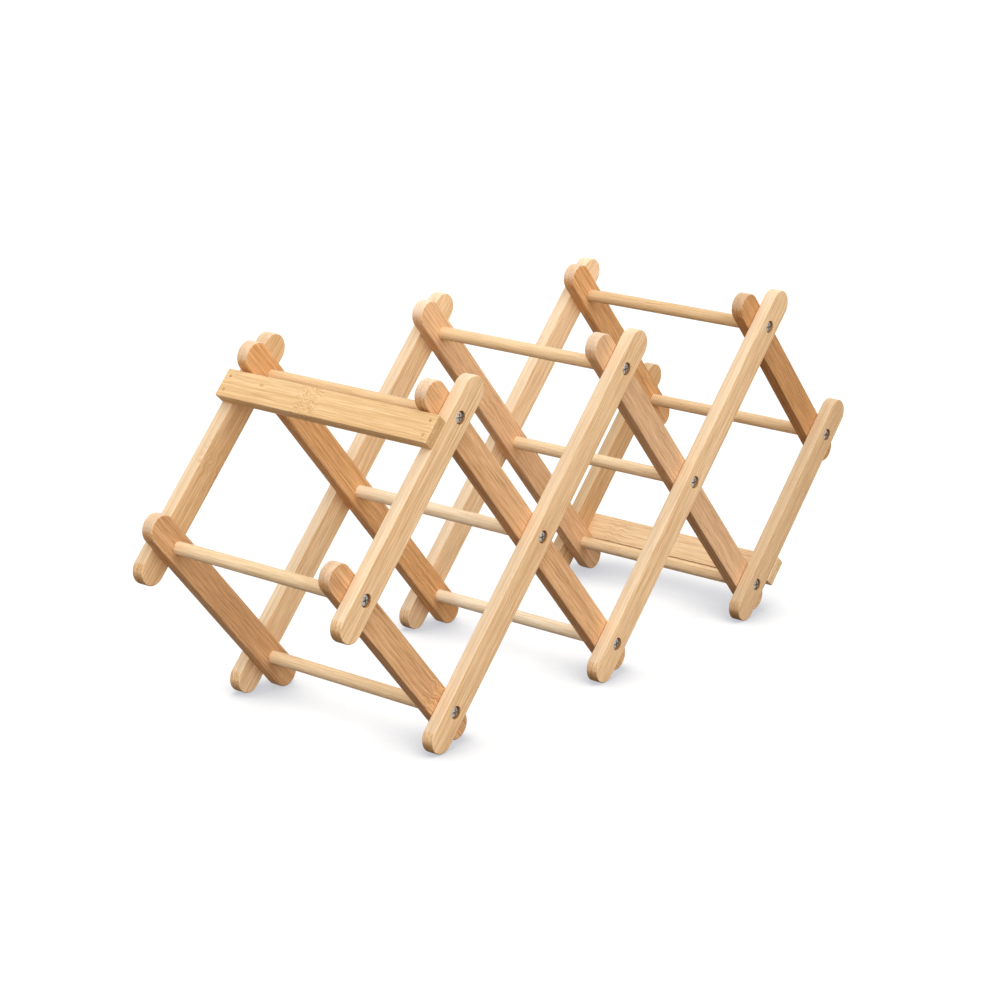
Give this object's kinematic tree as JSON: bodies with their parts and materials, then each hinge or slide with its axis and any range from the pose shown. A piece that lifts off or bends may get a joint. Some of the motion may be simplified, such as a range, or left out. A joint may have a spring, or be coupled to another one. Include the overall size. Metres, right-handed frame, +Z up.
{
  "type": "folding wine rack",
  "caption": "Accordion wine rack of flat bamboo slats: two scissor lattices tied by round rungs, with nailed end bars that stop the opening; folds to a narrow bundle.",
  "frame": {"origin": "on the floor under the middle of the open rack, midway between the two lattices", "axes": "+X along the row of cells, +Y from the front lattice to the back lattice, +Z up"},
  "size_m": [0.5024, 0.1564, 0.2142],
  "materials": {
    "bamboo_outer_slat": "sanded, clear satin lacquer",
    "bamboo_inner_slat": "sanded, clear satin lacquer",
    "bamboo_rung": "turned, clear satin lacquer",
    "bamboo_bar": "sanded, clear satin lacquer",
    "zinc_screw": "zinc plated",
    "steel_brad": "plain wire"
  },
  "bodies": {
    "center_rung": {"rung_bottom_2": "bamboo_rung", "screws_bottom_2": "zinc_screw"},
    "outer_pair_1": {"outer_slat_1_front": "bamboo_outer_slat", "outer_slat_1_back": "bamboo_outer_slat", "upper_end_bar": "bamboo_bar", "upper_bar_brads": "steel_brad"},
    "outer_pair_2": {"outer_slat_2_front": "bamboo_outer_slat", "outer_slat_2_back": "bamboo_outer_slat"},
    "outer_pair_3": {"outer_slat_3_front": "bamboo_outer_slat", "outer_slat_3_back": "bamboo_outer_slat"},
    "outer_pair_4": {"outer_slat_4_front": "bamboo_outer_slat", "outer_slat_4_back": "bamboo_outer_slat", "lower_end_bar": "bamboo_bar", "lower_bar_brads": "steel_brad"},
    "inner_pair_1": {"inner_slat_1_front": "bamboo_inner_slat", "inner_slat_1_back": "bamboo_inner_slat", "rung_middle_1": "bamboo_rung", "rung_bottom_1": "bamboo_rung", "screws_middle_1": "zinc_screw", "screws_bottom_1": "zinc_screw"},
    "inner_pair_2": {"inner_slat_2_front": "bamboo_inner_slat", "inner_slat_2_back": "bamboo_inner_slat", "rung_top_1": "bamboo_rung", "rung_middle_2": "bamboo_rung", "screws_top_1": "zinc_screw", "screws_middle_2": "zinc_screw"},
    "inner_pair_3": {"inner_slat_3_front": "bamboo_inner_slat", "inner_slat_3_back": "bamboo_inner_slat", "rung_top_2": "bamboo_rung", "rung_middle_3": "bamboo_rung", "rung_bottom_3": "bamboo_rung", "screws_top_2": "zinc_screw", "screws_middle_3": "zinc_screw", "screws_bottom_3": "zinc_screw"},
    "inner_pair_4": {"inner_slat_4_front": "bamboo_inner_slat", "inner_slat_4_back": "bamboo_inner_slat", "rung_top_3": "bamboo_rung", "rung_middle_4": "bamboo_rung", "screws_top_3": "zinc_screw", "screws_middle_4": "zinc_screw"}
  },
  "joints": [
    {"name": "fold", "type": "hinge", "parent": "center_rung", "child": "outer_pair_3", "pos_m": [0, 0, 0.02163], "axis": [0, -1, 0], "range_deg": [0, 37]},
    {"name": "inner_2_turn", "type": "hinge", "parent": "center_rung", "child": "inner_pair_2", "pos_m": [0, 0, 0.02163], "axis": [0, -1, 0], "range_deg": [-37, 0]},
    {"name": "outer_1_turn", "type": "hinge", "parent": "inner_pair_2", "child": "outer_pair_1", "pos_m": [-0.1539, 0, 0.19256], "axis": [0, -1, 0], "range_deg": [0, 74]},
    {"name": "outer_2_turn", "type": "hinge", "parent": "inner_pair_2", "child": "outer_pair_2", "pos_m": [-0.07695, 0, 0.10709], "axis": [0, -1, 0], "range_deg": [0, 74]},
    {"name": "inner_3_turn", "type": "hinge", "parent": "outer_pair_3", "child": "inner_pair_3", "pos_m": [0.07695, 0, 0.10709], "axis": [0, -1, 0], "range_deg": [-74, 0]},
    {"name": "inner_4_turn", "type": "hinge", "parent": "outer_pair_3", "child": "inner_pair_4", "pos_m": [0.1539, 0, 0.19256], "axis": [0, -1, 0], "range_deg": [-74, 0]},
    {"name": "outer_4_turn", "type": "hinge", "parent": "inner_pair_3", "child": "outer_pair_4", "pos_m": [0.1539, 0, 0.02163], "axis": [0, -1, 0], "range_deg": [0, 74]},
    {"name": "inner_1_turn", "type": "hinge", "parent": "outer_pair_1", "child": "inner_pair_1", "pos_m": [-0.23085, 0, 0.10709], "axis": [0, -1, 0], "range_deg": [-74, 0]}
  ],
  "couplings": [
    {"joint": "inner_2_turn", "follows": "fold", "ratio": -1},
    {"joint": "outer_1_turn", "follows": "fold", "ratio": 2},
    {"joint": "outer_2_turn", "follows": "fold", "ratio": 2},
    {"joint": "inner_3_turn", "follows": "fold", "ratio": -2},
    {"joint": "inner_4_turn", "follows": "fold", "ratio": -2},
    {"joint": "outer_4_turn", "follows": "fold", "ratio": 2},
    {"joint": "inner_1_turn", "follows": "fold", "ratio": -2}
  ]
}
